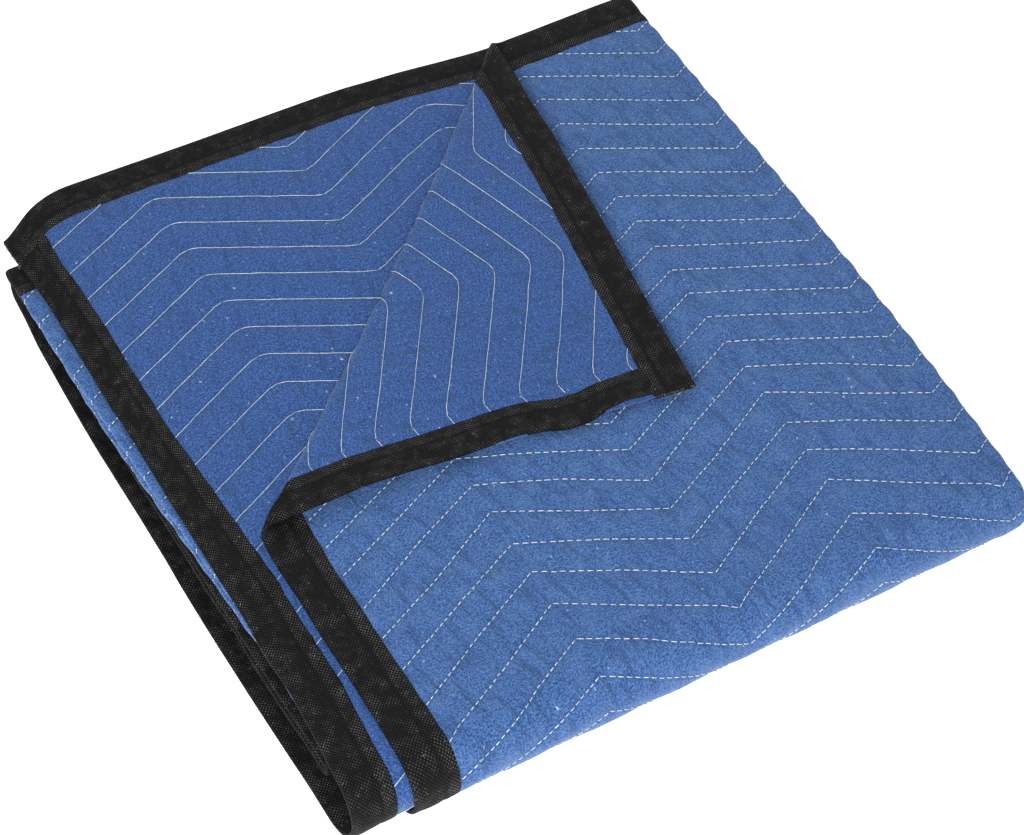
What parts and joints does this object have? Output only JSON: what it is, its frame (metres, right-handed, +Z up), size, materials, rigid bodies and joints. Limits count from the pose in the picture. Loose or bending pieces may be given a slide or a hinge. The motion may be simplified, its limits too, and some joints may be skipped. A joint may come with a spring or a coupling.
{
  "type": "moving blanket",
  "caption": "Quilted padded blanket with bound edges, folded flat into a square stack with one corner turned back; wraps or covers things while they are moved",
  "frame": {"origin": "centre of the stack's footprint, on the surface it rests on", "axes": "+Z up through the folded layers, +Y towards the far edges of the top layers, +X towards the rolled side with no bound edge"},
  "size_m": [0.5104, 0.5184, 0.0624],
  "materials": {
    "pad": "matt blue felt-like padding cloth with pale lint, sewn in zigzag rows of pale thread",
    "binding": "matt black woven tape with a fine weave and pale lint"
  },
  "bodies": {
    "root": {"quilted_pad": "pad", "side_tape_left": "binding", "side_tape_right": "binding", "end_tape_first": "binding", "end_tape_last": "binding"}
  },
  "joints": []
}
